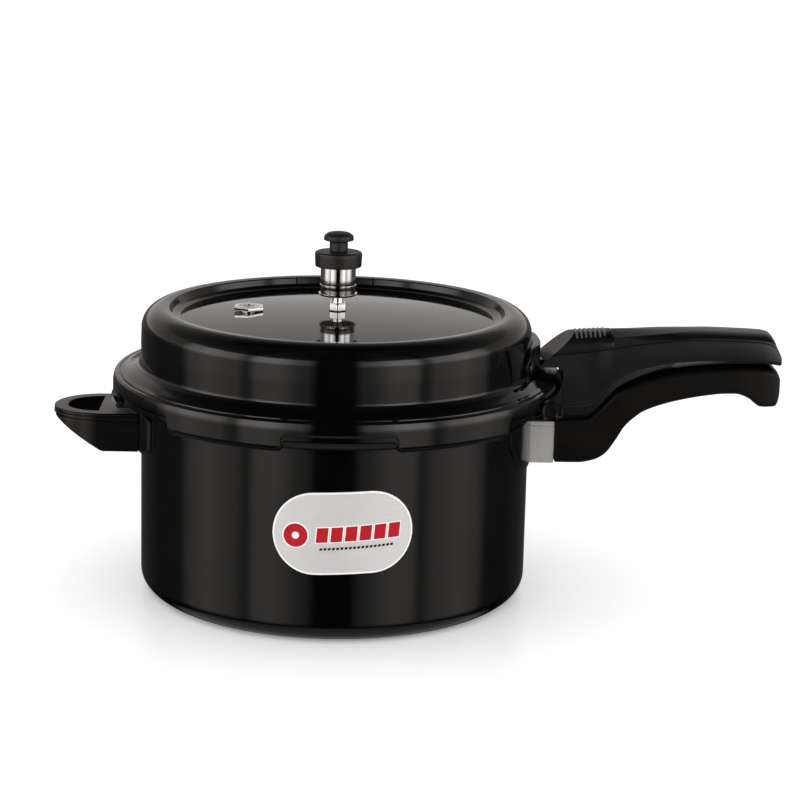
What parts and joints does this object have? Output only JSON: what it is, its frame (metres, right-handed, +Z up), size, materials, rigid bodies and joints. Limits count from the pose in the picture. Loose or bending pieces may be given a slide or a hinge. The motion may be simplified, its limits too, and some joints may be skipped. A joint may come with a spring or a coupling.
{
  "type": "stovetop pressure cooker",
  "caption": "Round stovetop pressure cooker with an outer bayonet lid, long twin handles, a loop helper handle, a pressure weight on a vent pipe and a safety valve.",
  "frame": {"origin": "centre of the underside of the pot's base", "axes": "+Z up along the pot's axis, +X towards the two long handles, -X towards the helper handle"},
  "size_m": [0.4105, 0.252, 0.204],
  "materials": {
    "black_anodised": "black hard-anodised aluminium, glossy",
    "phenolic": "black phenolic plastic, satin",
    "bracket_steel": "brushed stainless steel",
    "chrome": "polished chrome",
    "screw_steel": "plain steel",
    "rivet_aluminium": "satin aluminium",
    "label": "thin printed metal plate",
    "rubber": "black silicone rubber",
    "fusible_alloy": "soft low-melting alloy",
    "core_brass": "turned brass"
  },
  "bodies": {
    "pot": {"pot_body": "black_anodised", "label_plate": "label", "body_handle_bracket": "bracket_steel", "body_rivet_lower": "rivet_aluminium", "body_rivet_upper": "rivet_aluminium", "body_handle": "phenolic", "body_handle_screw_front": "screw_steel", "body_handle_screw_rear": "screw_steel", "helper_bracket": "black_anodised", "helper_rivet_left": "rivet_aluminium", "helper_rivet_right": "rivet_aluminium", "helper_handle": "phenolic", "helper_handle_screw": "screw_steel"},
    "seal": {"gasket": "rubber"},
    "lid": {"lid_shell": "black_anodised", "lid_handle_bracket": "black_anodised", "lid_rivet_left": "rivet_aluminium", "lid_rivet_right": "rivet_aluminium", "lid_handle": "phenolic", "lid_handle_screw_front": "screw_steel", "lid_handle_screw_rear": "screw_steel", "vent_pipe": "screw_steel", "vent_pipe_nut": "chrome", "vent_pipe_washer": "rubber", "safety_valve_body": "chrome", "safety_valve_plug": "fusible_alloy", "safety_valve_washer": "rubber", "safety_valve_nut": "screw_steel"},
    "clip": {"weight_clip": "screw_steel"},
    "weight": {"weight_shell": "chrome", "weight_core": "core_brass", "weight_spindle": "screw_steel", "weight_cap": "phenolic", "weight_knob": "phenolic"}
  },
  "joints": [
    {"name": "lid_lift", "type": "slide", "parent": "pot", "child": "seal", "axis": [0, 0, 1], "range_m": [0, 0.15]},
    {"name": "lid_turn", "type": "hinge", "parent": "seal", "child": "lid", "pos_m": [0, 0, 0.1175], "axis": [0, 0, 1], "range_deg": [0, 30]},
    {"name": "weight_lift", "type": "slide", "parent": "lid", "child": "clip", "axis": [0, 0, 1], "range_m": [0, 0.04]},
    {"name": "weight_spin", "type": "hinge", "parent": "clip", "child": "weight", "pos_m": [0, 0, 0.1679], "axis": [0, 0, 1], "continuous": true}
  ]
}
